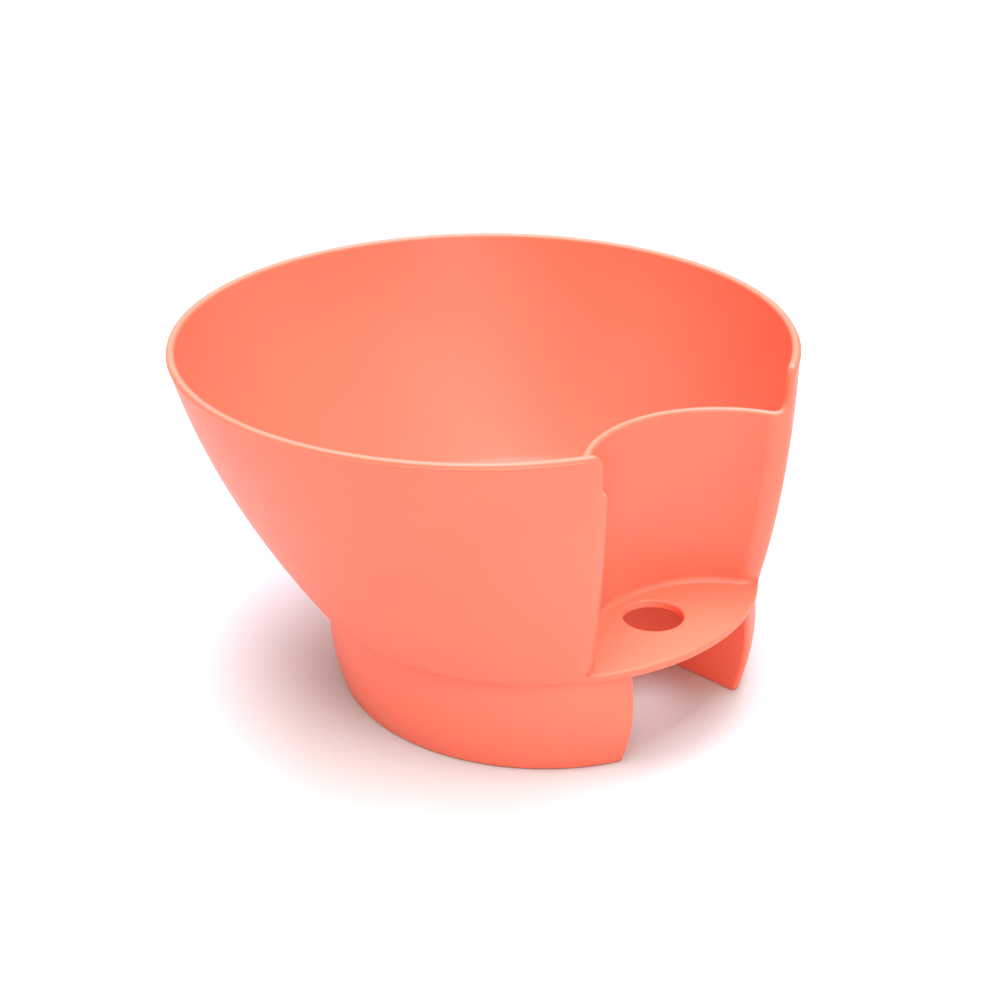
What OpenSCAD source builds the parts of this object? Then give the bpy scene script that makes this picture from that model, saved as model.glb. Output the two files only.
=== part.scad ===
// Hair colour bowl in one moulded plastic, drawn as the features it is made of.
// A round bowl leans back over a smaller foot. Its front wall is bitten in by an upright
// round recess, and the floor runs on through the bite as a shelf with a hole that parks
// the tail of a tint brush. Under the shelf the foot is open to the front as a channel.
// +X points to the recess, +Z up. The origin is on the table, under the middle of the
// overall length and width. Everything is symmetric about the XZ plane.

/* [Bowl] */
// Outside diameter of the rim
rim_d = 150; // [146:1:156]
// Height of the rim above the table
bowl_h = 82; // [79:0.5:88]
// Distance from the foot's axis back to the rim's axis
rim_back = 19.7; // [17:0.1:21]
// Outside diameter of the shoulder, where the wall meets the foot
shoulder_d = 108.6; // [107:0.2:110]
// Distance from the foot's axis back to the shoulder's axis
shoulder_back = 2.4; // [1.5:0.1:3]
// How much the wall bellies out, as a share of its flare
belly = 0.6; // [0.3:0.05:0.8]
// How early the wall leans back, as a share of its lean
lean = 0.4; // [0.1:0.05:0.6]
// Thickness of the walls
wall_t = 2; // [1.6:0.1:2.4]
// Radius of the cove between the floor and the walls, inside the bowl
cove_r = 3; // [1:0.5:4]
// Height of the rim band
rim_band = 2.5; // [2:0.1:4]
// Radius of the rounded top edges
edge_r = 0.7; // [0.3:0.05:0.75]

/* [Recess] */
// Radius of the recess face
recess_r = 30.4; // [29:0.1:32]
// Distance from the foot's axis forward to the recess axis
recess_fwd = 55.2; // [54:0.1:57]
// Height of the recess wall above the table
recess_h = 71.2; // [66:0.2:74]
// Outside radius of the upright corners beside the recess
corner_r = 4.85; // [4:0.05:6]
// Radius of the step from the rim down to the recess wall, above and below
step_r = 2.8; // [1.5:0.1:3]

/* [Floor and shelf] */
// Thickness of the floor and shelf
floor_t = 2; // [1.6:0.1:2.4]
// Diameter of the shelf's front edge
shelf_d = 108.3; // [106:0.1:110]
// Distance from the foot's axis back to the shelf's axis
shelf_back = 1.7; // [1:0.1:2.5]
// Diameter of the brush hole
hole_d = 14.4; // [10:0.2:18]
// Distance from the foot's axis forward to the brush hole
hole_fwd = 35.25; // [34:0.25:38]

/* [Foot] */
// Height of the foot, up to the underside of the floor
foot_h = 24; // [20:0.5:28]
// Outside diameter of the foot at the table
foot_d = 99; // [96:0.5:100]
// Widest outside diameter of the foot
foot_belly_d = 104.6; // [103:0.2:106]
// Height of the foot's widest place, as a share of its height
foot_belly_at = 0.66; // [0.5:0.02:0.8]
// Width of the channel under the shelf
channel_w = 40.8; // [34:0.2:44]
// Distance from the foot's axis forward to the round end of the channel
channel_fwd = 27; // [22:0.5:29]

/* [Hidden] */
coral = "#fa8269";
coral_deep = "#f0745a";
coral_pale = "#ffaa9b";

rim_r = rim_d / 2;
shoulder_r = shoulder_d / 2;
shelf_r = shelf_d / 2;
channel_r = channel_w / 2;
floor_top = foot_h + floor_t;

// The foot's axis, placed so that the overall length is centred on the origin
foot_x = ((rim_back + rim_r) - (shelf_r - shelf_back)) / 2;
shelf_x = foot_x - shelf_back;
hole_x = foot_x + hole_fwd;
recess_x = foot_x + recess_fwd;
channel_x = foot_x + channel_fwd;

level_gap = 5;      // height between the levels of a plain wall
cove_steps = 3;     // levels through the cove
edge_steps = 3;     // levels through a rounded top edge
bowl_columns = 44;  // columns on each half of the bowl's wall
corner_columns = 9;
recess_columns = 18;
foot_steps = 14;

// ---- The bowl's outline at a height, seen from above -------------------------------------

// Share of the way from the shoulder up to the rim
function rise(z) = (z - foot_h) / (bowl_h - foot_h);
// A straight run from 0 to 1, bowed so that more of it comes early
function bowed(s, bow) = s + bow * s * (1 - s);
// Radius and axis of the bowl's outer face
function wall_r(z) = shoulder_r + (rim_r - shoulder_r) * bowed(rise(z), belly);
function wall_x(z) = foot_x - shoulder_back - (rim_back - shoulder_back) * bowed(rise(z), lean);

// The corner circle that touches the bowl's face and the recess face, both taken `inset`
// inside the outer skin: [x, y, radius]
function corner(z, inset) =
    let (r = max(corner_r - inset, wall_t / 4),
         a = wall_r(z) - inset - r,
         b = recess_r + inset + r,
         d = recess_x - wall_x(z),
         x = (d * d + a * a - b * b) / (2 * d))
    [wall_x(z) + x, sqrt(a * a - x * x), r];

// A point of the left half of the outline. `u` runs 0 to 1 along the bowl's wall from the
// back, passing its widest place at 0.5, then 1 to 2 round the corner, and 2 to 3 along the
// recess to its middle.
function left_point(u, z, inset) =
    let (c = corner(z, inset),
         from_bowl = atan2(c.y, c.x - wall_x(z)),
         to_recess = atan2(-c.y, recess_x - c.x))
    u <= 0.5 ? arc_point(wall_x(z), 0, wall_r(z) - inset, 180 - 180 * u) :
    u <= 1 ? arc_point(wall_x(z), 0, wall_r(z) - inset, 90 + (from_bowl - 90) * (2 * u - 1)) :
    u <= 2 ? arc_point(c.x, c.y, c[2], from_bowl + (to_recess - from_bowl) * (u - 1)) :
    arc_point(recess_x, 0, recess_r + inset, 180 + to_recess * (3 - u));
function arc_point(x, y, r, a) = [x + r * cos(a), y + r * sin(a)];

// The same for both halves: a negative `v` is on the right half
function skin_point(v, z, inset) =
    let (p = left_point(abs(v), z, inset)) [p.x, p.y * sign_of(v), z];
function sign_of(v) = v < 0 ? -1 : 1;

// ---- Walls ------------------------------------------------------------------------------

// How far the cove fills in from the inner face at a height
function cove(z) = z >= floor_top + cove_r ? 0 :
    cove_r - sqrt(cove_r * cove_r - pow(min(cove_r, cove_r + floor_top - z), 2));
function steps(from, to, n) = [for (i = [1:n]) from + (to - from) * i / n];

// The levels of a wall from `low` to `high`, each as [z, inset of outer face, inset of inner
// face]. A rounded wall has its top edges rounded off.
function levels(low, high, rounded, count_from) =
    let (straight_top = rounded ? high - edge_r : high,
         floor_levels = low < floor_top
             ? concat([low, floor_top], steps(floor_top, floor_top + cove_r, cove_steps))
             : [low],
         last = floor_levels[len(floor_levels) - 1],
         count = ceil(((is_undef(count_from) ? high : count_from) - last) / level_gap))
    concat(
        [for (z = floor_levels) [z, 0, wall_t + cove(z)]],
        [for (z = steps(last, straight_top, count)) [z, 0, wall_t]],
        rounded ? [for (a = steps(0, 90, edge_steps))
            let (trim = edge_r * (1 - cos(a))) [straight_top + edge_r * sin(a), trim, wall_t - trim]]
            : []);

// One column of a wall: its outer points, then its inner points. The inner face stands
// upright through the floor, so that the floor can be a plain plate. Columns of unequal
// height in one solid take their number of levels from `count_from`.
function column(v, low, high, rounded, count_from = undef) =
    let (rows = levels(low, high, rounded, count_from))
    [[for (row = rows) skin_point(v, row[0], row[1])],
     [for (row = rows)
         let (p = skin_point(v, max(row[0], floor_top), row[2])) [p.x, p.y, row[0]]]];

// A closed solid through a list of columns
module wall_solid(columns) {
    rows = len(columns[0][0]);
    last = len(columns) - 1;
    function outer(j, i) = (2 * j) * rows + i;
    function inner(j, i) = (2 * j + 1) * rows + i;
    points = [for (c = columns, side = c, p = side) p];
    quads = concat(
        [for (j = [0:last - 1], i = [0:rows - 2])
            [outer(j, i), outer(j, i + 1), outer(j + 1, i + 1), outer(j + 1, i)]],
        [for (j = [0:last - 1], i = [0:rows - 2])
            [inner(j, i), inner(j + 1, i), inner(j + 1, i + 1), inner(j, i + 1)]],
        [for (j = [0:last - 1]) [outer(j, 0), outer(j + 1, 0), inner(j + 1, 0), inner(j, 0)]],
        [for (j = [0:last - 1])
            [outer(j, rows - 1), inner(j, rows - 1), inner(j + 1, rows - 1), outer(j + 1, rows - 1)]],
        [for (i = [0:rows - 2]) [outer(0, i), inner(0, i), inner(0, i + 1), outer(0, i + 1)]],
        [for (i = [0:rows - 2])
            [outer(last, i), outer(last, i + 1), inner(last, i + 1), inner(last, i)]]);
    polyhedron(points, [for (q = quads, half = [[q[0], q[1], q[2]], [q[0], q[2], q[3]]]) half],
               convexity = 8);
}

// The plain wall between two places on the outline
module plain_wall(from, to, columns, low, high, rounded) {
    wall_solid([for (i = [0:columns])
        column(from + (to - from) * i / columns, low, high, rounded)]);
}

// The recess wall's outline crosses the middle at 3, so its right half is counted back
function recess_columns_list(low, high, rounded) =
    [for (i = [-recess_columns:recess_columns])
        column((i < 0 ? -1 : 1) * (3 - abs(i) / recess_columns), low, high, rounded)];

// The step beside the recess, from the rim's height down to the recess wall's: points of
// [distance along the corner, height], rounded above and below
step_run = 0.4;
step_path = concat(
    [[0, bowl_h]],
    [for (a = steps(0, 90, 4)) [step_r * sin(a), bowl_h - step_r * (1 - cos(a))]],
    [for (a = concat([0], steps(0, 90, 4)))
        [step_r + step_run + step_r * (1 - cos(a)), recess_h + step_r * (1 - sin(a))]]);

// Length of the corner's arc at the recess wall's height
corner_arc =
    let (c = corner(recess_h, 0))
    corner_r * PI / 180 * (atan2(c.y, c.x - wall_x(recess_h)) + atan2(c.y, recess_x - c.x));

module corner_post(side) {
    path = concat(step_path, [[corner_arc, recess_h]]);
    wall_solid([for (p = order(side, path))
        column(side * (1 + p[0] / corner_arc), foot_h, p[1], true, recess_h)]);
}
// A solid on the right half has its columns the other way round
function order(side, list) = side > 0 ? list : reversed(list);

// ---- Foot -------------------------------------------------------------------------------

// Outer radius of the foot: a barrel, widest part of the way up
function foot_r(z) =
    let (s = z / foot_h,
         t = s < foot_belly_at ? 1 - s / foot_belly_at : (s - foot_belly_at) / foot_belly_at)
    foot_belly_d / 2 - (foot_belly_d - foot_d) / 2 * t * t;

// The barrel's side from the table up, taken `inset` inside the outer face
function barrel_side(inset) =
    [for (i = [0:foot_steps]) let (z = foot_h * i / foot_steps) [foot_r(z) - inset, z]];
function reversed(list) = [for (i = [len(list) - 1:-1:0]) list[i]];

// The space inside the skirt
module foot_space() {
    rotate_extrude($fn = 120) polygon(concat([[0, 0]], barrel_side(wall_t), [[0, foot_h]]));
}

module channel_wall(side) {
    low_y = side > 0 ? channel_r : -channel_r - wall_t;
    translate([foot_x, 0, 0]) intersection() {
        foot_space();
        translate([channel_fwd, low_y, 0]) cube([foot_d, wall_t, foot_h]);
    }
}

// ---- Sub-parts --------------------------------------------------------------------------

// Top band of the bowl's wall
module bowl_rim() {
    color(coral_pale) plain_wall(-1, 1, 2 * bowl_columns, bowl_h - rim_band, bowl_h, true);
}

// The round wall, from the shoulder to the rim band
module bowl_wall() {
    color(coral) plain_wall(-1, 1, 2 * bowl_columns, foot_h, bowl_h - rim_band, false);
}

// Upright corners, where the bowl's wall turns into the recess and steps down
module corner_left() { color(coral) corner_post(1); }
module corner_right() { color(coral) corner_post(-1); }

// Top band of the recess wall
module recess_rim() {
    color(coral_pale) wall_solid(recess_columns_list(recess_h - rim_band, recess_h, true));
}

// The hollow-faced wall of the recess
module recess_wall() {
    color(coral_deep) wall_solid(recess_columns_list(foot_h, recess_h - rim_band, false));
}

// The bowl's floor, inside the walls' coves
module bowl_floor() {
    inset = wall_t + cove_r;
    function half(side) = concat(
        [for (i = [0:bowl_columns]) skin_point(side * i / bowl_columns, floor_top, inset)],
        [for (i = [1:corner_columns]) skin_point(side * (1 + i / corner_columns), floor_top, inset)],
        [for (i = [1:recess_columns]) skin_point(side * (2 + i / recess_columns), floor_top, inset)]);
    left = half(1);
    right = half(-1);
    outline = concat(left, [for (i = [len(right) - 2:-1:1]) right[i]]);
    color(coral) translate([0, 0, foot_h])
        linear_extrude(floor_t) polygon([for (p = outline) [p.x, p.y]]);
}

// The floor's continuation in front of the recess wall, with the brush hole. Its ends fill
// in beside the upright corners.
module shelf_outline() {
    base = corner(floor_top, 0);
    from_bowl = atan2(base.y, base.x - wall_x(floor_top));
    beside = arc_point(base.x, base.y, 1.5 * corner_r, from_bowl);
    intersection() {
        translate([shelf_x, 0]) circle(r = shelf_r, $fn = 180);
        union() {
            translate([recess_x, 0]) circle(r = recess_r, $fn = 180);
            for (side = [-1, 1])
                polygon([[recess_x, 0], [base.x, side * base.y], [beside.x, side * beside.y]]);
        }
    }
}
module brush_shelf() {
    color(coral_pale) difference() {
        translate([0, 0, foot_h]) linear_extrude(floor_t) shelf_outline();
        for (side = [-1, 1], z = [foot_h, floor_top])
            let (c = corner(z, 0))
                translate([c.x, side * c.y, foot_h - 1])
                    cylinder(h = floor_t + 2, r = c[2], $fn = 96);
        translate([hole_x, 0, foot_h - 1]) cylinder(h = floor_t + 2, d = hole_d, $fn = 96);
    }
}

// The foot's barrel-shaped skirt, open at the front
module foot_skirt() {
    color(coral_deep) translate([foot_x, 0, 0]) difference() {
        rotate_extrude($fn = 120)
            polygon(concat(barrel_side(0), reversed(barrel_side(wall_t))));
        translate([0, -channel_r, -1]) cube([foot_d, channel_w, foot_h + 2]);
    }
}

// Straight sides of the channel under the shelf
module channel_wall_left() { color(coral_deep) channel_wall(1); }
module channel_wall_right() { color(coral_deep) channel_wall(-1); }

// Round end of the channel
module channel_end() {
    color(coral_deep) translate([channel_x, 0, 0]) difference() {
        cylinder(h = foot_h, r = channel_r + wall_t, $fn = 120);
        translate([0, 0, -1]) cylinder(h = foot_h + 2, r = channel_r, $fn = 120);
        translate([0, -foot_d / 2, -1]) cube([foot_d, foot_d, foot_h + 2]);
    }
}

bowl_rim();
bowl_wall();
corner_left();
corner_right();
recess_rim();
recess_wall();
bowl_floor();
brush_shelf();
foot_skirt();
channel_wall_left();
channel_wall_right();
channel_end();
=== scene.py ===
"""Hair colour bowl, one moulding in satin coral plastic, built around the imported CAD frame.

The moulding is drawn as the same features as the part: each is a closed mesh of its own,
and neighbours share the points where they meet, so that the skin runs on without a seam.
Shapes are worked out in millimetres in the part's frame and put into metres at the end.
"""

import math

import bmesh
import bpy
import numpy as np
from mathutils import Matrix, Vector, geometry


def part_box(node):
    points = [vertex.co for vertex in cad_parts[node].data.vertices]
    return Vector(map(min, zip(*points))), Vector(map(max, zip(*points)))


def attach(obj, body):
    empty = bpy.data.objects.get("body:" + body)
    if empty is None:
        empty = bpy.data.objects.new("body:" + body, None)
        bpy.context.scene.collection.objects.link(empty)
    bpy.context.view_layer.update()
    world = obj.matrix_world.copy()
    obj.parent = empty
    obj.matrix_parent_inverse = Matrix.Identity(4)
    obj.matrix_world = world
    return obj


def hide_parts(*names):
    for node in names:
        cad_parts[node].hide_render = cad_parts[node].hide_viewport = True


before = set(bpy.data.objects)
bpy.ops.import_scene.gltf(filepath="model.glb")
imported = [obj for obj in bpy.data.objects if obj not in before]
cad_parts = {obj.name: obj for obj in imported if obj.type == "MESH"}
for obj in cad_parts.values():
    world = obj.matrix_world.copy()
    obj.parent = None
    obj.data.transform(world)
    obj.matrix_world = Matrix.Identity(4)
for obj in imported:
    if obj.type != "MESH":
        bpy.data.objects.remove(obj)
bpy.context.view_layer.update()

MM = 0.001

# ---- Driving dimensions, in millimetres ------------------------------------------------------

BOWL_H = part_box("bowl_rim")[1].z / MM
RIM_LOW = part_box("bowl_rim")[0].z / MM
RECESS_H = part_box("recess_rim")[1].z / MM
RECESS_RIM_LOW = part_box("recess_rim")[0].z / MM
FOOT_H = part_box("bowl_floor")[0].z / MM
FLOOR_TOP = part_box("bowl_floor")[1].z / MM

# The bowl
RIM_R = 75.0
RIM_BACK = 19.7
SHOULDER_R = 54.3
SHOULDER_BACK = 2.4
BELLY = 0.6
LEAN = 0.4
WALL_T = 2.0
COVE_R = 3.0

# The recess
RECESS_R = 30.4
RECESS_FWD = 55.2
CORNER_R = 4.85
STEP_R = 2.8
STEP_LEAN = 4.0

# The shelf
SHELF_R = 54.15
SHELF_BACK = 1.7
HOLE_R = 7.2
HOLE_FWD = 35.25

# The foot
FOOT_R = 49.5
FOOT_BELLY_R = 52.3
FOOT_BELLY_AT = 0.66
CHANNEL_R = 20.4
CHANNEL_FWD = 27.0
CHANNEL_CORNER_R = 1.0
CHANNEL_INNER_R = 0.3

# Small roundings
RIM_EDGE_R = 0.75
RECESS_EDGE_R = 0.9
SHOULDER_EDGE_R = 0.8
SHELF_EDGE_R = 0.7
SHELF_UNDER_R = 0.45
SHELF_FILLET_R = 1.5
HOLE_EDGE_R = 0.45
HOLE_UNDER_R = 0.3
FOOT_EDGE_R = 0.5
FOOT_FILLET_R = 0.8

# The lip under the rim: how far it stands proud, and its profile as the distance below the
# rounded edge and the share of its height
LIP = 0.2
LIP_PROFILE = ((0.5, 0), (0.42, 0.6), (0.32, 1), (0.15, 1), (0.06, 0.4))

# Axes
FOOT_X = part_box("foot_skirt")[0].x / MM + FOOT_BELLY_R
SHELF_X = FOOT_X - SHELF_BACK
HOLE_X = FOOT_X + HOLE_FWD
RECESS_X = FOOT_X + RECESS_FWD
CHANNEL_X = FOOT_X + CHANNEL_FWD


# ---- Small helpers ---------------------------------------------------------------------------

def spread(a, b, n):
    """n + 1 numbers from a to b."""
    return [a + (b - a) * i / n for i in range(n + 1)]


def mix(a, b, t):
    return a + (b - a) * t


def ease(t):
    """0 to 1, starting and ending gently."""
    t = min(1.0, max(0.0, t))
    return t * t * (3 - 2 * t)


def on_circle(x, y, r, degrees):
    a = math.radians(degrees)
    return x + r * math.cos(a), y + r * math.sin(a)


def direction(x, y):
    return math.degrees(math.atan2(y, x))


def quarter(n):
    """(sine, cosine) through a quarter turn in n steps."""
    return [(math.sin(a), math.cos(a)) for a in spread(0, math.pi / 2, n)]


def mirrored(half):
    """The places of the right half, back to front, and then those of the left half."""
    return [-v for v in reversed(half) if v] + half


# ---- The bowl's outline, as in the part ------------------------------------------------------

def bowed(s, bow):
    return s + bow * s * (1 - s)


def rise(z):
    return (z - FOOT_H) / (BOWL_H - FOOT_H)


def wall_r(z):
    return SHOULDER_R + (RIM_R - SHOULDER_R) * bowed(rise(z), BELLY)


def wall_x(z):
    return FOOT_X - SHOULDER_BACK - (RIM_BACK - SHOULDER_BACK) * bowed(rise(z), LEAN)


def corner(z, inset):
    """(x, y, radius) of the circle that rounds the bowl's face into the recess face."""
    r = max(CORNER_R - inset, WALL_T / 4)
    a = wall_r(z) - inset - r
    b = RECESS_R + inset + r
    d = RECESS_X - wall_x(z)
    x = (d * d + a * a - b * b) / (2 * d)
    return wall_x(z) + x, math.sqrt(a * a - x * x), r


def bowl_point(v, z, inset=0.0):
    """A point of the bowl's skin. The size of v runs 0 to 1 along the wall from the back, 1 to 2
    round the corner and 2 to 3 along the recess to its middle. It is negative on the right."""
    u = abs(v)
    cx, cy, cr = corner(z, inset)
    from_bowl = direction(cx - wall_x(z), cy)
    to_recess = direction(RECESS_X - cx, -cy)
    if u <= 0.5:
        x, y = on_circle(wall_x(z), 0, wall_r(z) - inset, 180 - 180 * u)
    elif u <= 1:
        x, y = on_circle(wall_x(z), 0, wall_r(z) - inset, mix(90, from_bowl, 2 * u - 1))
    elif u <= 2:
        x, y = on_circle(cx, cy, cr, mix(from_bowl, to_recess, u - 1))
    else:
        x, y = on_circle(RECESS_X, 0, RECESS_R + inset, 180 + to_recess * (3 - u))
    return x, math.copysign(y, v), z


# ---- Closed meshes ---------------------------------------------------------------------------

class Shell:
    """One closed surface, gathered as grids and caps that share the points where they meet.
    A hidden face lies against a neighbouring piece."""

    def __init__(self):
        self.index = {}
        self.points = []
        self.faces = []
        self.hidden = []

    def point(self, p):
        key = place(p)
        if key not in self.index:
            self.index[key] = len(self.points)
            self.points.append(p)
        return self.index[key]

    def face(self, corners, hidden=False):
        ring = [self.point(p) for p in corners]
        ring = [a for a, b in zip(ring, ring[1:] + ring[:1]) if a != b]
        if len(ring) >= 3:
            self.faces.append(ring)
            self.hidden.append(hidden)

    def grid(self, lines, hidden=False):
        """Quads between neighbouring lines of points."""
        for a, b in zip(lines, lines[1:]):
            for i in range(len(a) - 1):
                self.face([a[i], a[i + 1], b[i + 1], b[i]], hidden)

    def end(self, outer, inner):
        """The end of a wall, hidden against the next piece: rung by rung from the outer face's
        edge to the inner face's."""
        self.grid([outer, inner], hidden=True)

    def level(self, loops, z, spacing):
        """A level face inside the first loop and outside the others, evenly triangulated."""
        flat = [(p[0], p[1]) for loop in loops for p in loop]
        edges = []
        for loop in loops:
            start, n = len(edges), len(loop)
            edges += [(start + i, start + (i + 1) % n) for i in range(n)]
        flat += lattice([np.array([p[:2] for p in loop]) for loop in loops], spacing)
        found = geometry.delaunay_2d_cdt([Vector(p) for p in flat], edges, [], 2, 1e-6)
        source = [ids[0] for ids in found[3]]
        holes = [np.array([p[:2] for p in loop]) for loop in loops[1:]]
        for triangle in found[2]:
            corners = [flat[source[i]] for i in triangle]
            if not any(within(hole, np.mean(corners, 0)) for hole in holes):
                self.face([(*p, z) for p in corners])


def place(p):
    """A point's place to a hundred-thousandth of a millimetre."""
    return tuple(round(c * 1e5) for c in p)


def lattice(loops, spacing):
    """Points of an even lattice, inside the first loop and outside the others, clear of all."""
    low, high = loops[0].min(0), loops[0].max(0)
    row = spacing * math.sqrt(3) / 2
    found = []
    for j in range(int((high[1] - low[1]) / row) + 2):
        for i in range(int((high[0] - low[0]) / spacing) + 2):
            p = low + np.array([(i + j % 2 / 2) * spacing, j * row])
            clear = min(np.hypot(*(loop - p).T).min() for loop in loops) > spacing * 0.6
            if clear and within(loops[0], p) and not any(within(hole, p) for hole in loops[1:]):
                found.append(tuple(p))
    return found


def within(loop, p):
    a, b = loop, np.roll(loop, -1, 0)
    crosses = (a[:, 1] > p[1]) != (b[:, 1] > p[1])
    a, b = a[crosses], b[crosses]
    at = a[:, 0] + (p[1] - a[:, 1]) / (b[:, 1] - a[:, 1]) * (b[:, 0] - a[:, 0])
    return (at > p[0]).sum() % 2 == 1


# ---- Columns and levels of the bowl's walls --------------------------------------------------

# Depth of the strip that carries the rounded top edge
STRIP = 1.6
# Level at which the plain wall starts, above the cove and the fillets
PLAIN_FROM = FLOOR_TOP + COVE_R + 1
# Level at which the corner's wall meets the patch beside its step
STEP_LOW = RECESS_H - 0.7
# Steps through the rim's edge, a fillet and the cove
EDGE_STEPS, FILLET_STEPS, COVE_STEPS = 5, 5, 8
# Steps through the shelf's lower and upper edges. The wall's lower edge has one more than the
# shelf's.
UNDER_STEPS, OVER_STEPS = 3, 4
# Steps up the corner's wall, below its step and beside it. The recess wall has one less, because
# its rim band adds one.
LOWER_STEPS, UPPER_STEPS = 15, 7
# Columns of the wall's back and front, and of half the recess
BACK_COLUMNS, FRONT_COLUMNS, RECESS_COLUMNS = 75, 46, 44
# Distance between the points inside the floor
FLOOR_SPACING = 3.0

WALL_V = spread(0, 0.5, BACK_COLUMNS) + spread(0.5, 1, FRONT_COLUMNS)[1:]
RECESS_V = spread(2, 3, RECESS_COLUMNS)
lower_levels = spread(PLAIN_FROM, STEP_LOW, LOWER_STEPS)
upper_levels = spread(STEP_LOW, RIM_LOW, UPPER_STEPS)[1:]
recess_levels = spread(PLAIN_FROM, RECESS_RIM_LOW, LOWER_STEPS - 1)

wall_columns = mirrored(WALL_V)
recess_columns = RECESS_V + [-v for v in reversed(RECESS_V)][1:]


# The top edge of the corner, laid out flat: it leaves the rim, steps down and runs into the
# recess wall's top edge. Lengths are taken along the corner's arc.
def corner_arc_length():
    cx, cy, cr = corner(RECESS_H, 0)
    turn = direction(cx - wall_x(RECESS_H), cy) + direction(RECESS_X - cx, cy)
    return cr * math.radians(turn)


CORNER_ARC = corner_arc_length()
TURN = math.radians(90 - STEP_LEAN)
step_drop = BOWL_H - RECESS_H - 2 * STEP_R * (1 - math.cos(TURN))
step_side = step_drop / math.sin(TURN)
step_end = 2 * STEP_R * math.sin(TURN) + step_side * math.cos(TURN)
ARC = STEP_R * TURN


def step_path(at):
    """(along, z, outward along, outward z) of the top edge, `at` millimetres along it."""
    if at <= ARC:
        a = at / STEP_R
        return STEP_R * math.sin(a), BOWL_H - STEP_R * (1 - math.cos(a)), math.sin(a), math.cos(a)
    if at <= ARC + step_side:
        down = at - ARC
        along, z = STEP_R * math.sin(TURN), BOWL_H - STEP_R * (1 - math.cos(TURN))
        return (along + down * math.cos(TURN), z - down * math.sin(TURN),
                math.sin(TURN), math.cos(TURN))
    a = max(0.0, 2 * TURN + step_side / STEP_R - at / STEP_R)
    past = max(0.0, at - 2 * ARC - step_side)
    return (step_end - STEP_R * math.sin(a) + past, RECESS_H + STEP_R * (1 - math.cos(a)),
            math.sin(a), math.cos(a))


# Places on the top edge: to the middle of the upper bend, to the middle of the lower bend, and
# to the recess wall
ACROSS, DOWN, ALONG = 8, len(upper_levels) + 1, 14
first_bend = ARC / 2
second_bend = 1.5 * ARC + step_side
path_end = 2 * ARC + step_side + CORNER_ARC - step_end
upper_at = spread(0, first_bend, ACROSS)
side_at = spread(first_bend, second_bend, DOWN)
lower_at = spread(second_bend, path_end, ALONG)
edge_at = upper_at + side_at[1:] + lower_at[1:]


def below_edge(at, depth):
    """(along, z) of the point `depth` below the top edge, square to it."""
    along, z, out_along, out_z = step_path(at)
    return along - depth * out_along, z - depth * out_z


# The corner's columns: across to the lower bend, then on below the recess wall's edge
bend_along, bend_z = below_edge(second_bend, STRIP)
corner_tops = ([(mix(0, bend_along, t), mix(STEP_LOW, bend_z, t)) for t in spread(0, 1, ACROSS)]
               + [below_edge(at, STRIP) for at in lower_at[1:]])
corner_v = [1 + along / CORNER_ARC for along, z in corner_tops]
corner_v[-1] = 2.0

# Where the shelf's tip starts, on the corner, and how far the lower rounding runs on behind it
TIP_COLUMN = 5
TIP = corner_v[TIP_COLUMN]
TIP_RUN = 0.2


def shelf_fillet(u):
    """How far the fillet between the wall and the shelf reaches out from the wall."""
    return SHELF_FILLET_R * ease((u - TIP) / (2 - TIP))


def outer_base(v):
    """(z, inset) of the outer skin from the underside to the plain wall. On the bowl's side of
    the shelf's tip the lower edge is rounded. In front of the shelf the first rows lie against
    the shelf, and the others are the fillet that rises from it."""
    u = abs(v)
    on_shelf, past_tip = ease((u - 1) / (TIP - 1)), ease((u - TIP) / TIP_RUN)
    r, reach = SHOULDER_EDGE_R, shelf_fillet(u)
    wall_rows = [(FOOT_H + r * (1 - c), r * (1 - s)) for s, c in quarter(UNDER_STEPS + 1)]
    r = SHELF_UNDER_R
    shelf_rows = [(FOOT_H + r * (1 - c), r * (1 - s) * (1 - past_tip))
                  for s, c in quarter(UNDER_STEPS)]
    shelf_rows.append((FLOOR_TOP, 0.0))
    rows = [(mix(a, b, on_shelf), mix(c, d, on_shelf) - reach)
            for (a, c), (b, d) in zip(wall_rows, shelf_rows)]
    for k, (s, c) in list(enumerate(quarter(FILLET_STEPS)))[1:]:
        plain = mix(FOOT_H + SHOULDER_EDGE_R, FLOOR_TOP + SHELF_FILLET_R, k / FILLET_STEPS)
        rows.append((mix(plain, FLOOR_TOP + reach * (1 - c), on_shelf), -reach * (1 - s)))
    return rows


# How many rows of that base lie against the shelf: its rounded lower edge and its top
COVERED = UNDER_STEPS + 2


inner_base = [(FLOOR_TOP + COVE_R * (1 - c), WALL_T + COVE_R * (1 - s))
              for s, c in quarter(COVE_STEPS)]
COVE_INSET = WALL_T + COVE_R


def edge_rows(u_edge):
    """(depth, inset) over the top edge, from the outer face to the inner face. The edge changes
    from the bowl's rim, 0, to the recess wall's, 1."""
    r = mix(RIM_EDGE_R, RECESS_EDGE_R, ease(u_edge))
    lip = LIP * (1 - ease(2 * u_edge))
    bead = [(r + below, share * lip) for below, share in LIP_PROFILE]
    rounding = [(r * (1 - s), r * (1 - c)) for s, c in quarter(EDGE_STEPS)]
    outer = [(STRIP, 0.0)] + [(depth, -proud) for depth, proud in bead] + rounding
    inner = [(STRIP, 0.0)] + [(depth, 0.0) for depth, proud in bead] + rounding
    inner = [(depth, WALL_T - inset) for depth, inset in reversed(inner)]
    return outer + [(0.0, WALL_T / 2)] + inner


def halves(line):
    """A line over the top edge, as its outer and its inner half, both ending at the middle."""
    half = len(line) // 2 + 1
    return line[:half], line[:-half - 1:-1]


def skin(v, rows):
    return [bowl_point(v, z, inset) for z, inset in rows]


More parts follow.
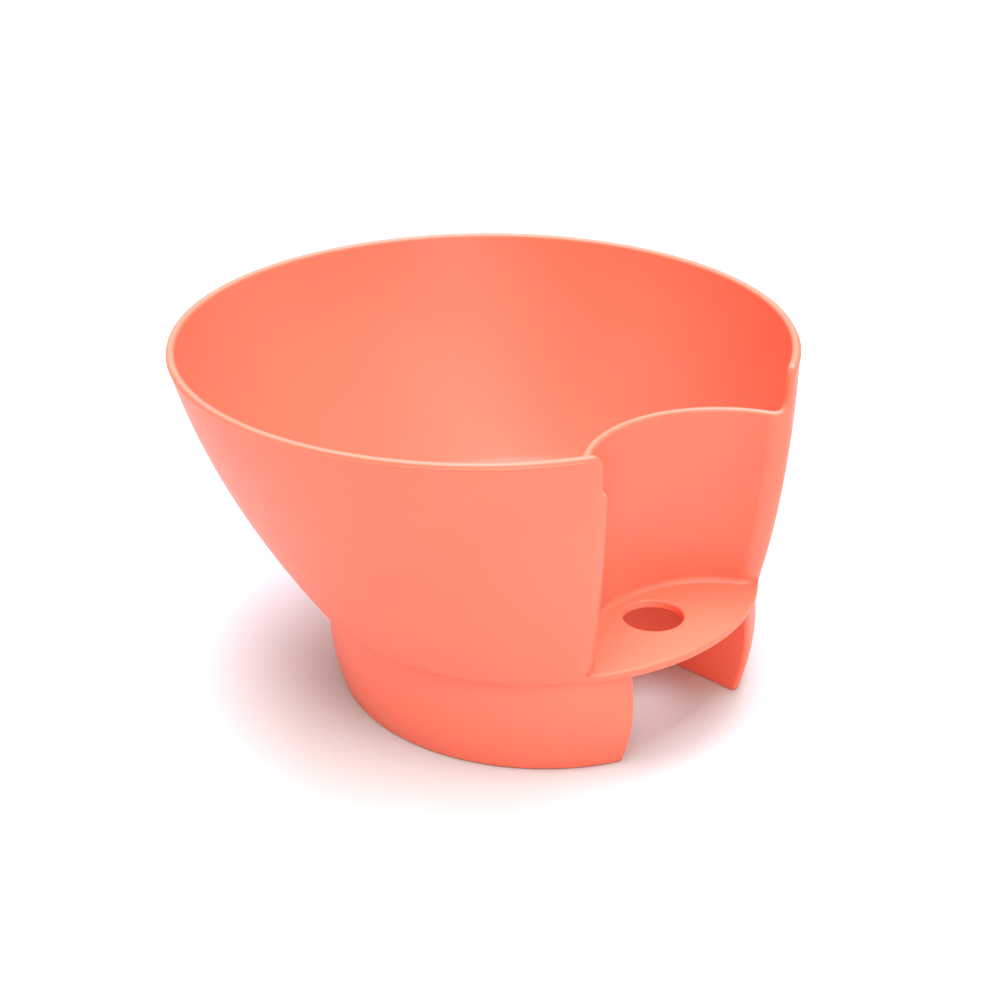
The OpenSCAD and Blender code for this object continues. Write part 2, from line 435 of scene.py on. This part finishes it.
def foot_of_inner(v):
    """The inner face stands upright through the floor's thickness."""
    x, y, _ = bowl_point(v, FLOOR_TOP, COVE_INSET)
    return [(x, y, FOOT_H), (x, y, FLOOR_TOP)]


# ---- Features of the bowl --------------------------------------------------------------------

shells = {}


def shell(name):
    shells[name] = Shell()
    return shells[name]


def plain_wall(name, columns, levels, covered):
    """A wall from the underside up to a rim band. The shelf may cover its foot."""
    s = shell(name)
    outer = [skin(v, outer_base(v) + [(z, 0) for z in levels]) for v in columns]
    inner = [skin(v, inner_base + [(z, WALL_T) for z in levels]) for v in columns]
    inmost = [foot_of_inner(v) for v in columns]
    s.grid([line[:COVERED] for line in outer], hidden=covered)
    s.grid([line[COVERED - 1:] for line in outer])
    s.grid(inner)
    s.grid(inmost, hidden=True)
    s.grid([[o[0], i[0]] for o, i in zip(outer, inmost)])
    s.grid([[o[-1], i[-1]] for o, i in zip(outer, inner)], hidden=True)
    for end in (0, -1):
        s.end(outer[end], inmost[end][:1] + inner[end])


def rim_band(name, columns, low, top, u_edge):
    """The top band of a wall, with its rounded edge."""
    s = shell(name)
    rows = [(low, 0.0)] + [(top - depth, inset) for depth, inset in edge_rows(u_edge)]
    rows.append((low, WALL_T))
    lines = [skin(v, rows) for v in columns]
    s.grid(lines)
    s.grid([[line[0], line[-1]] for line in lines], hidden=True)
    for end in (0, -1):
        s.end(*halves(lines[end]))


def corner_lower(base, inset):
    """Rows (place, z, inset) of each column of a corner's skin, up to the step's patch."""
    left = [(z - PLAIN_FROM) / (STEP_LOW - PLAIN_FROM) for z in lower_levels]
    right_top = RECESS_H - STRIP
    right = [(z - PLAIN_FROM) / (right_top - PLAIN_FROM) for z in recess_levels + [right_top]]
    columns = []
    for j, ((along, top), v) in enumerate(zip(corner_tops, corner_v)):
        t = j / (len(corner_v) - 1)
        shares = [mix(a, b, t) for a, b in zip(left, right)]
        columns.append([(v, z, i) for z, i in base(v)]
                       + [(v, mix(PLAIN_FROM, top, share), inset) for share in shares])
    return columns


def corner_upper(inset):
    """The patch beside the step, between the rim's strip and the lower bend."""
    left = [(0.0, z) for z in [STEP_LOW] + upper_levels + [BOWL_H - STRIP]]
    right = [below_edge(at, STRIP) for at in reversed(side_at)]
    low = corner_tops[:ACROSS + 1]
    high = [below_edge(at, STRIP) for at in upper_at]
    columns = []
    for j in range(ACROSS + 1):
        t = j / ACROSS
        column = []
        for i in range(DOWN + 1):
            w = i / DOWN
            p = [mix(left[i][k], right[i][k], t) + mix(low[j][k], high[j][k], w)
                 - mix(mix(low[0][k], low[-1][k], t), mix(high[0][k], high[-1][k], t), w)
                 for k in (0, 1)]
            column.append((1 + p[0] / CORNER_ARC, p[1], inset))
        columns.append(column)
    return columns


def corner_post(name, side):
    """The upright corner, whose top edge steps down from the rim to the recess wall."""
    s = shell(name)

    def placed(lines):
        return [[bowl_point(side * v, z, inset) for v, z, inset in line] for line in lines]

    outer = placed(corner_lower(outer_base, 0))
    inner = placed(corner_lower(lambda v: inner_base, WALL_T))
    outer_step, inner_step = placed(corner_upper(0)), placed(corner_upper(WALL_T))
    edge = []
    for at in edge_at:
        line = []
        for depth, inset in edge_rows(at / second_bend):
            along, z = below_edge(at, depth)
            line.append((min(2.0, 1 + along / CORNER_ARC), z, inset))
        edge.append(line)
    edge = placed(edge)
    inmost = [foot_of_inner(side * v) for v in corner_v]
    for lines in (inner, outer_step, inner_step, edge):
        s.grid(lines)
    s.grid(outer[:TIP_COLUMN + 1])
    s.grid([line[:COVERED] for line in outer[TIP_COLUMN:]], hidden=True)
    s.grid([line[COVERED - 1:] for line in outer[TIP_COLUMN:]])
    s.grid(inmost, hidden=True)
    s.grid([[o[0], i[0]] for o, i in zip(outer, inmost)])
    over, under = halves(edge[0])
    s.end(outer[0] + outer_step[0][1:] + over[1:],
          inmost[0][:1] + inner[0] + inner_step[0][1:] + under[1:])
    over, under = halves(edge[-1])
    s.end(outer[-1] + over[1:], inmost[-1][:1] + inner[-1] + under[1:])


def bowl_floor():
    s = shell("bowl_floor")
    half = WALL_V + corner_v[1:] + RECESS_V[1:]
    loop = [foot_of_inner(v) for v in mirrored(half)[:-1]]
    low, high = [p[0] for p in loop], [p[1] for p in loop]
    s.level([high], FLOOR_TOP, FLOOR_SPACING)
    s.level([low], FOOT_H, FLOOR_SPACING)
    s.grid(loop + loop[:1], hidden=True)


# ---- The shelf -------------------------------------------------------------------------------

# How far towards its tips the shelf's front edge is round, as a share of half its width
PULL_FROM = 0.75
# The last share of it, over which the rounding of the upper edge runs out
EDGE_RUN = 0.1
SHELF_COLUMNS, SHELF_LEVELS = 110, 4
HOLE_SIDES = 96
# Distance between the points inside the shelf's two faces
SHELF_SPACING = 2.0


def shelf_edge(t, z, inset):
    """The shelf's front edge, from the right tip, -1, to the left tip, 1. Near the tips it
    draws in to meet the corners' skin."""
    tip_x, tip_y, _ = bowl_point(TIP, z)
    y = t * tip_y
    pull = SHELF_X + math.sqrt(SHELF_R ** 2 - tip_y ** 2) - tip_x
    pulled = max(0.0, (abs(t) - PULL_FROM) / (1 - PULL_FROM)) ** 2
    x = SHELF_X + math.sqrt(SHELF_R ** 2 - y * y) - pull * pulled
    far = math.hypot(x - SHELF_X, y)
    return x - inset * (x - SHELF_X) / far, y - inset * y / far, z


def brush_shelf():
    s = shell("brush_shelf")
    # Columns of the front edge, closer together towards the tips
    places = [mix(t, math.sin(t * math.pi / 2), 0.8) for t in spread(-1, 1, SHELF_COLUMNS)]
    front = []
    for t in places:
        under, over = SHELF_UNDER_R, SHELF_EDGE_R * min(1.0, (1 - abs(t)) / EDGE_RUN)
        rows = [(FOOT_H + under * (1 - co), under * (1 - si)) for si, co in quarter(UNDER_STEPS)]
        rows += [(z, 0.0) for z in spread(FOOT_H + under, FLOOR_TOP - over, SHELF_LEVELS)[1:]]
        rows += [(FLOOR_TOP - over * (1 - si), over * (1 - co))
                 for si, co in quarter(OVER_STEPS)[1:]]
        if abs(t) < 1:
            front.append([shelf_edge(t, z, inset) for z, inset in rows])
        else:
            low = outer_base(TIP)[:UNDER_STEPS + 1]
            low += [(FLOOR_TOP, 0.0)] * (len(rows) - len(low))
            front.append(skin(math.copysign(TIP, t), low))
    half = corner_v[TIP_COLUMN:] + RECESS_V[1:]
    back = [skin(v, outer_base(v)[:COVERED]) for v in half + [-v for v in reversed(half)][1:]]
    rings = [(FLOOR_TOP - HOLE_EDGE_R * (1 - co), HOLE_EDGE_R * (1 - si))
             for si, co in quarter(OVER_STEPS)]
    rings += [(FOOT_H + HOLE_UNDER_R * (1 - co), HOLE_UNDER_R * (1 - si))
              for si, co in reversed(quarter(UNDER_STEPS))]
    turns = spread(0, 360, HOLE_SIDES)[:-1]
    hole = [[(*on_circle(HOLE_X, 0, HOLE_R + out, a), z) for a in turns] for z, out in rings]
    s.grid(front)
    s.grid(back, hidden=True)
    s.grid([ring + ring[:1] for ring in hole])
    for row, ring, z in ((0, hole[-1], FOOT_H), (-1, hole[0], FLOOR_TOP)):
        loop = [line[row] for line in front] + [line[row] for line in back][1:-1]
        s.level([loop, ring], z, SHELF_SPACING)


# ---- The foot --------------------------------------------------------------------------------

# The share of the shoulder's overhang that the fillet under it may take
OVERHANG_SHARE = 0.4
FOOT_EDGE_STEPS, FOOT_LEVELS = 4, 12
SKIRT_COLUMNS, CORNER_COLUMNS, SIDE_COLUMNS, END_COLUMNS = 96, 8, 12, 28


def foot_r(z):
    """Outer radius of the foot: a barrel, widest part of the way up."""
    s = z / FOOT_H
    t = 1 - s / FOOT_BELLY_AT if s < FOOT_BELLY_AT else (s - FOOT_BELLY_AT) / FOOT_BELLY_AT
    return FOOT_BELLY_R - (FOOT_BELLY_R - FOOT_R) * t * t


def foot_point(v, z, inset):
    """A point of the foot's skin. The size of v runs 0 to 1 round the skirt from the back, 1 to 2
    round the edge of the channel, 2 to 3 along its side and 3 to 4 round its closed end."""
    u = abs(v)
    cr = max(CHANNEL_CORNER_R - inset, CHANNEL_INNER_R)
    cy = CHANNEL_R + inset + cr
    cx = math.sqrt((foot_r(z) - inset - cr) ** 2 - cy * cy)
    from_skirt = direction(cx, cy)
    if u <= 1:
        x, y = on_circle(FOOT_X, 0, foot_r(z) - inset, mix(180, from_skirt, u))
    elif u <= 2:
        x, y = on_circle(FOOT_X + cx, cy, cr, mix(from_skirt, -90, u - 1))
    elif u <= 3:
        x, y = mix(FOOT_X + cx, CHANNEL_X, u - 2), CHANNEL_R + inset
    else:
        x, y = on_circle(CHANNEL_X, 0, CHANNEL_R + inset, 90 + 90 * (u - 3))
    return x, math.copysign(y, v), z


def foot_fillet(v):
    """Radius of the fillet under the bowl. Round the skirt there is only the shoulder's
    overhang to take it."""
    u = abs(v)
    a = math.radians(mix(180, direction(FOOT_R, CHANNEL_R), min(u, 1)))
    back = SHOULDER_BACK
    shoulder = -back * math.cos(a) + math.sqrt(SHOULDER_R ** 2 - (back * math.sin(a)) ** 2)
    under = min(FOOT_FILLET_R, OVERHANG_SHARE * (shoulder - foot_r(FOOT_H)))
    return mix(under, FOOT_FILLET_R, ease(u - 1))


foot_levels = spread(FOOT_EDGE_R, FOOT_H - FOOT_FILLET_R, FOOT_LEVELS)[1:-1]


def foot_side(v, face, out, fillet):
    """One face of the foot's wall at v, from its rounded lower edge to the fillet on top."""
    rows = [(FOOT_EDGE_R * (1 - c), face + out * FOOT_EDGE_R * (s - 1))
            for s, c in quarter(FOOT_EDGE_STEPS)]
    rows += [(z, face) for z in foot_levels]
    rows += [(FOOT_H - fillet * (1 - s), face + out * fillet * (1 - c))
             for s, c in quarter(FILLET_STEPS)]
    return [foot_point(v, z, inset) for z, inset in rows]


def foot_part(name, columns):
    s = shell(name)
    outer = [foot_side(v, 0.0, -1, foot_fillet(v)) for v in columns]
    inner = [foot_side(v, WALL_T, 1, FOOT_FILLET_R) for v in columns]
    s.grid(outer)
    s.grid(inner)
    s.grid([[o[0], i[0]] for o, i in zip(outer, inner)])
    s.grid([[o[-1], i[-1]] for o, i in zip(outer, inner)], hidden=True)
    for end in (0, -1):
        s.end(outer[end], inner[end])


# ---- All the shells --------------------------------------------------------------------------

plain_wall("bowl_wall", wall_columns, lower_levels + upper_levels, covered=False)
rim_band("bowl_rim", wall_columns, RIM_LOW, BOWL_H, 0)
plain_wall("recess_wall", recess_columns, recess_levels, covered=True)
rim_band("recess_rim", recess_columns, RECESS_RIM_LOW, RECESS_H, 1)
corner_post("corner_left", 1)
corner_post("corner_right", -1)
bowl_floor()
brush_shelf()
skirt = spread(0, 1, SKIRT_COLUMNS) + spread(1, 2, CORNER_COLUMNS)[1:]
foot_part("foot_skirt", mirrored(skirt))
channel_side = spread(2, 3, SIDE_COLUMNS)
foot_part("channel_wall_left", channel_side)
foot_part("channel_wall_right", [-v for v in channel_side])
channel_end = spread(3, 4, END_COLUMNS)
foot_part("channel_end", channel_end + [-v for v in reversed(channel_end)][1:])


# ---- Meshes ----------------------------------------------------------------------------------

def mesh_of(name, s):
    mesh = bpy.data.meshes.new(name)
    mesh.from_pydata([Vector(p) * MM for p in s.points], [], s.faces)
    mesh.attributes.new("hidden", "BOOLEAN", "FACE").data.foreach_set("value", s.hidden)
    bm = bmesh.new()
    bm.from_mesh(mesh)
    bmesh.ops.recalc_face_normals(bm, faces=bm.faces)
    bm.to_mesh(mesh)
    bm.free()
    mesh.shade_smooth()
    return mesh


def smooth_across(meshes):
    """Gives each corner of a face the mean direction of all shown faces at that place, in any
    piece, so that the pieces shade as one skin. Hidden faces stay flat."""
    total = {}
    for mesh, keys in meshes:
        for polygon in mesh.polygons:
            if not mesh.attributes["hidden"].data[polygon.index].value:
                for i in polygon.vertices:
                    total[keys[i]] = total.get(keys[i], 0) + np.array(polygon.normal) * polygon.area
    for mesh, keys in meshes:
        directions = []
        for polygon in mesh.polygons:
            flat = mesh.attributes["hidden"].data[polygon.index].value
            for i in polygon.vertices:
                smooth = polygon.normal if flat else Vector(total[keys[i]]).normalized()
                directions.append(tuple(smooth))
        mesh.normals_split_custom_set(directions)


meshes = {name: mesh_of(name, s) for name, s in shells.items()}
smooth_across([(meshes[name], [place(p) for p in s.points]) for name, s in shells.items()])


# ---- Material --------------------------------------------------------------------------------

DEEP_CORAL = (0.92, 0.152, 0.086, 1)
PALE_CORAL = (0.94, 0.164, 0.094, 1)
ROUGHNESS = (0.42, 0.54)
# Noise scales, per metre
FLOW_SCALE, GLOSS_SCALE, GRAIN_SCALE = 28, 180, 2600
GRAIN_STRENGTH = 0.12
GRAIN_HEIGHT = 0.04 * MM
PLASTIC_IOR = 1.5


def link(tree, a, out, b, into):
    tree.links.new(a.outputs[out], b.inputs[into])


def coral_plastic():
    """Satin polypropylene: a fine moulded grain, faint flow shading and slightly uneven gloss."""
    material = bpy.data.materials.new("satin_coral_plastic")
    material.use_nodes = True
    tree = material.node_tree
    shader = tree.nodes["Principled BSDF"]
    place_node = tree.nodes.new("ShaderNodeTexCoord")

    def noise(scale, detail):
        node = tree.nodes.new("ShaderNodeTexNoise")
        node.inputs["Scale"].default_value = scale
        node.inputs["Detail"].default_value = detail
        link(tree, place_node, "Object", node, "Vector")
        return node

    flow = noise(FLOW_SCALE, 3)
    tint = tree.nodes.new("ShaderNodeValToRGB")
    tint.color_ramp.elements[0].position = 0.3
    tint.color_ramp.elements[0].color = DEEP_CORAL
    tint.color_ramp.elements[1].position = 0.7
    tint.color_ramp.elements[1].color = PALE_CORAL
    link(tree, flow, "Fac", tint, "Fac")
    link(tree, tint, "Color", shader, "Base Color")

    gloss = noise(GLOSS_SCALE, 4)
    rough = tree.nodes.new("ShaderNodeMapRange")
    rough.inputs["To Min"].default_value = ROUGHNESS[0]
    rough.inputs["To Max"].default_value = ROUGHNESS[1]
    link(tree, gloss, "Fac", rough, "Value")
    link(tree, rough, "Result", shader, "Roughness")

    grain = noise(GRAIN_SCALE, 2)
    bump = tree.nodes.new("ShaderNodeBump")
    bump.inputs["Strength"].default_value = GRAIN_STRENGTH
    bump.inputs["Distance"].default_value = GRAIN_HEIGHT
    link(tree, grain, "Fac", bump, "Height")
    link(tree, bump, "Normal", shader, "Normal")
    shader.inputs["IOR"].default_value = PLASTIC_IOR
    return material


# ---- Pieces on the frame ---------------------------------------------------------------------

plastic = coral_plastic()
for name, mesh in meshes.items():
    mesh.materials.append(plastic)
    piece = bpy.data.objects.new("moulded_" + name, mesh)
    bpy.context.scene.collection.objects.link(piece)
    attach(piece, "root")
    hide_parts(name)


# ---- Stage, light and camera -----------------------------------------------------------------

FLOOR_HALF = 1.1
FLOOR_GREY = 0.62
FLOOR_ROUGHNESS = 0.8
# The middle of the object, which the lamps face
LAMP_TARGET = Vector((0, 0, 0.04))
# The surroundings' light on the object
FILL = 0.1
# Lamp colours
WHITE = (1.0, 1.0, 1.06)
COOL = (1.0, 1.0, 1.15)
WARM = (1.0, 1.0, 0.94)

LENS = 69.74
CAMERA_AT = (0.30541, -0.30705, 0.24978)
CAMERA_HEADING, CAMERA_DOWN, CAMERA_ROLL = 44.206, 26.183, -0.29


def floor():
    mesh = bpy.data.meshes.new("floor")
    half = FLOOR_HALF
    mesh.from_pydata([(-half, -half, 0), (half, -half, 0), (half, half, 0), (-half, half, 0)],
                     [], [(0, 1, 2, 3)])
    material = bpy.data.materials.new("pale_floor")
    material.use_nodes = True
    shader = material.node_tree.nodes["Principled BSDF"]
    shader.inputs["Base Color"].default_value = (FLOOR_GREY, FLOOR_GREY, FLOOR_GREY, 1)
    shader.inputs["Roughness"].default_value = FLOOR_ROUGHNESS
    mesh.materials.append(material)
    obj = bpy.data.objects.new("floor", mesh)
    bpy.context.scene.collection.objects.link(obj)


def softbox(name, around, up, distance, side, brightness, colour):
    """A square lamp facing the object. `around` and `up` are its direction in degrees, and
    `distance` and `side` are in metres."""
    out = Vector((0, 0, 1))
    out.rotate(Matrix.Rotation(math.radians(90 - up), 3, "Y"))
    out.rotate(Matrix.Rotation(math.radians(around), 3, "Z"))
    lamp = bpy.data.lights.new(name, "AREA")
    lamp.size = side
    lamp.energy = math.pi * side * side * brightness
    lamp.color = colour
    obj = bpy.data.objects.new(name, lamp)
    obj.location = LAMP_TARGET + distance * out
    obj.rotation_euler = (-out).to_track_quat("-Z", "Y").to_euler()
    bpy.context.scene.collection.objects.link(obj)


def white_room(fill):
    """Surroundings that look white and light the object with only a faint fill."""
    world = bpy.data.worlds.new("white_room")
    bpy.context.scene.world = world
    world.use_nodes = True
    tree = world.node_tree
    back = tree.nodes["Background"]
    back.inputs["Color"].default_value = (1, 1, 1, 1)
    seen = tree.nodes.new("ShaderNodeLightPath")
    strength = tree.nodes.new("ShaderNodeMapRange")
    strength.inputs["To Min"].default_value = fill
    strength.inputs["To Max"].default_value = 1.0
    link(tree, seen, "Is Camera Ray", strength, "Value")
    link(tree, strength, "Result", back, "Strength")


def camera():
    """Looks down on the front and the right side of the bowl."""
    data = bpy.data.cameras.new("camera")
    data.sensor_width = 36.0
    data.lens = LENS
    data.clip_start = 0.01
    obj = bpy.data.objects.new("camera", data)
    heading, down, roll = (math.radians(a) for a in (CAMERA_HEADING, CAMERA_DOWN, CAMERA_ROLL))
    turn = (Matrix.Rotation(heading, 3, "Z") @ Matrix.Rotation(math.pi / 2 - down, 3, "X")
            @ Matrix.Rotation(roll, 3, "Z"))
    obj.matrix_world = Matrix.Translation(CAMERA_AT) @ turn.to_4x4()
    bpy.context.scene.collection.objects.link(obj)
    bpy.context.scene.camera = obj


floor()
white_room(FILL)
softbox("top", around=0, up=90, distance=3.0, side=2.4, brightness=7.2, colour=WHITE)
softbox("back", around=135, up=58, distance=1.6, side=1.2, brightness=6.5, colour=COOL)
softbox("high", around=345, up=55, distance=1.6, side=1.2, brightness=2.9, colour=WARM)
softbox("left", around=225, up=36, distance=1.6, side=1.2, brightness=2.4, colour=WARM)
softbox("right", around=45, up=20, distance=1.6, side=1.2, brightness=0.8, colour=WARM)
softbox("front", around=325, up=12, distance=1.6, side=0.6, brightness=8.0, colour=WARM)
camera()
bpy.context.scene.view_settings.view_transform = "Standard"
